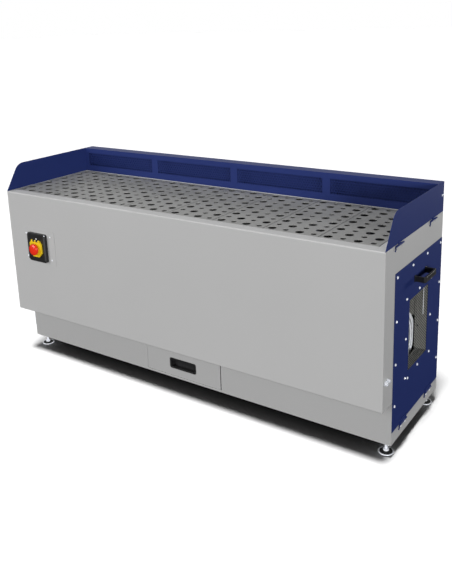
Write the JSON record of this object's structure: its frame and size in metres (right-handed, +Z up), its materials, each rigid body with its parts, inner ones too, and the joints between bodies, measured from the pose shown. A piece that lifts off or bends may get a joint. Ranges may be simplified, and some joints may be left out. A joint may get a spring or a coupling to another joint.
{
  "type": "downdraft extraction table",
  "caption": "Sheet steel workbench that draws air down through a perforated worktop, with folding side screens, a rear suction box, a service door with an exhaust, and a dust drawer.",
  "frame": {"origin": "on the floor, at the bottom centre of the box round the whole table", "axes": "+X to the right end with the service door, +Y from the user's side to the rear, +Z up"},
  "size_m": [2.0548, 0.66, 1],
  "materials": {
    "grey_paint": "satin light grey powder coat",
    "blue_paint": "satin dark blue powder coat",
    "worktop_steel": "dull bare steel sheet",
    "zinc_steel": "galvanised sheet",
    "plated_steel": "bright plated steel",
    "black_plastic": "matt black plastic",
    "yellow_plastic": "smooth yellow plastic",
    "red_plastic": "smooth red plastic",
    "green_plastic": "smooth green plastic",
    "grey_foam": "ribbed open sound foam",
    "filter_cloth": "pleated pale filter cloth"
  },
  "bodies": {
    "table": {"floor_pan": "grey_paint", "plinth_front": "grey_paint", "front_panel": "grey_paint", "side_sheet_right": "grey_paint", "side_sheet_left": "grey_paint", "rear_panel": "grey_paint", "worktop_frame": "grey_paint", "support_grid": "worktop_steel", "back_box_front": "blue_paint", "back_box_rear": "blue_paint", "window_mesh": "blue_paint", "right_screen_hinge_front": "blue_paint", "right_screen_hinge_rear": "blue_paint", "left_screen_hinge_front": "blue_paint", "left_screen_hinge_rear": "blue_paint", "door_hinge_front": "blue_paint", "door_hinge_rear": "blue_paint", "left_cover": "blue_paint", "fan_wall": "grey_paint", "fan_inlet_cone": "zinc_steel", "fan_motor": "zinc_steel", "fan_bracket": "zinc_steel", "chamber_foam_rear": "grey_foam", "filter_wall": "grey_paint", "filter_cassette_frame": "zinc_steel", "filter_media": "filter_cloth", "hopper_left": "grey_paint", "hopper_right": "grey_paint", "spark_baffle": "zinc_steel", "drawer_rail_left": "zinc_steel", "drawer_rail_right": "zinc_steel", "switch_plate": "grey_paint", "switch_box": "black_plastic", "cable_gland_front": "plated_steel", "cable_gland_rear": "plated_steel"},
    "drawer": {"drawer_front": "grey_paint", "drawer_tray": "zinc_steel", "drawer_pull": "black_plastic"},
    "door": {"service_door": "blue_paint", "door_foam": "grey_foam", "door_handle": "black_plastic"},
    "right_screen": {"right_screen": "blue_paint"},
    "left_screen": {"left_screen": "blue_paint"},
    "fan": {"fan_impeller": "zinc_steel"},
    "switch_flap": {"switch_flap": "yellow_plastic"},
    "stop_mushroom": {"stop_mushroom": "red_plastic"},
    "stop_button": {"stop_button": "red_plastic"},
    "start_button": {"start_button": "green_plastic"},
    "plate_1": {"worktop_plate_1": "worktop_steel"},
    "plate_2": {"worktop_plate_2": "worktop_steel"},
    "plate_3": {"worktop_plate_3": "worktop_steel"},
    "plate_4": {"worktop_plate_4": "worktop_steel"},
    "plate_5": {"worktop_plate_5": "worktop_steel"},
    "plate_6": {"worktop_plate_6": "worktop_steel"},
    "plate_7": {"worktop_plate_7": "worktop_steel"},
    "plate_8": {"worktop_plate_8": "worktop_steel"},
    "foot_front_right": {"foot_front_right": "plated_steel"},
    "foot_rear_right": {"foot_rear_right": "plated_steel"},
    "foot_front_left": {"foot_front_left": "plated_steel"},
    "foot_rear_left": {"foot_rear_left": "plated_steel"}
  },
  "joints": [
    {"name": "drawer_slide", "type": "slide", "parent": "table", "child": "drawer", "axis": [0, -1, 0], "range_m": [0, 0.38]},
    {"name": "door_hinge", "type": "hinge", "parent": "table", "child": "door", "pos_m": [0.9841, 0.068, 0.1137], "axis": [0, 1, 0], "range_deg": [0, 90]},
    {"name": "right_screen_fold", "type": "hinge", "parent": "table", "child": "right_screen", "pos_m": [0.9841, 0.024, 0.869], "axis": [0, 1, 0], "range_deg": [0, 90]},
    {"name": "left_screen_fold", "type": "hinge", "parent": "table", "child": "left_screen", "pos_m": [-1.0239, 0.024, 0.869], "axis": [0, -1, 0], "range_deg": [0, 90]},
    {"name": "fan_spin", "type": "hinge", "parent": "table", "child": "fan", "pos_m": [0.8816, 0.068, 0.377], "axis": [1, 0, 0], "continuous": true},
    {"name": "flap_hinge", "type": "hinge", "parent": "table", "child": "switch_flap", "pos_m": [-0.8129, -0.3093, 0.651], "axis": [-1, 0, 0], "range_deg": [0, 110]},
    {"name": "mushroom_press", "type": "slide", "parent": "switch_flap", "child": "stop_mushroom", "axis": [0, 1, 0], "range_m": [0, 0.004], "stiffness_N_per_m": 400, "springref_m": -0.002},
    {"name": "stop_button_press", "type": "slide", "parent": "table", "child": "stop_button", "axis": [0, 1, 0], "range_m": [0, 0.004], "stiffness_N_per_m": 400, "springref_m": -0.002},
    {"name": "start_button_press", "type": "slide", "parent": "table", "child": "start_button", "axis": [0, 1, 0], "range_m": [0, 0.004], "stiffness_N_per_m": 400, "springref_m": -0.002},
    {"name": "plate_lift_1", "type": "slide", "parent": "table", "child": "plate_1", "axis": [0, 0, 1], "range_m": [0, 0.15]},
    {"name": "plate_lift_2", "type": "slide", "parent": "table", "child": "plate_2", "axis": [0, 0, 1], "range_m": [0, 0.15]},
    {"name": "plate_lift_3", "type": "slide", "parent": "table", "child": "plate_3", "axis": [0, 0, 1], "range_m": [0, 0.15]},
    {"name": "plate_lift_4", "type": "slide", "parent": "table", "child": "plate_4", "axis": [0, 0, 1], "range_m": [0, 0.15]},
    {"name": "plate_lift_5", "type": "slide", "parent": "table", "child": "plate_5", "axis": [0, 0, 1], "range_m": [0, 0.15]},
    {"name": "plate_lift_6", "type": "slide", "parent": "table", "child": "plate_6", "axis": [0, 0, 1], "range_m": [0, 0.15]},
    {"name": "plate_lift_7", "type": "slide", "parent": "table", "child": "plate_7", "axis": [0, 0, 1], "range_m": [0, 0.15]},
    {"name": "plate_lift_8", "type": "slide", "parent": "table", "child": "plate_8", "axis": [0, 0, 1], "range_m": [0, 0.15]},
    {"name": "foot_front_right_adjust", "type": "slide", "parent": "table", "child": "foot_front_right", "axis": [0, 0, -1], "range_m": [0, 0.015]},
    {"name": "foot_rear_right_adjust", "type": "slide", "parent": "table", "child": "foot_rear_right", "axis": [0, 0, -1], "range_m": [0, 0.015]},
    {"name": "foot_front_left_adjust", "type": "slide", "parent": "table", "child": "foot_front_left", "axis": [0, 0, -1], "range_m": [0, 0.015]},
    {"name": "foot_rear_left_adjust", "type": "slide", "parent": "table", "child": "foot_rear_left", "axis": [0, 0, -1], "range_m": [0, 0.015]}
  ],
  "couplings": [
    {"joint": "stop_button_press", "follows": "mushroom_press", "ratio": 1}
  ]
}
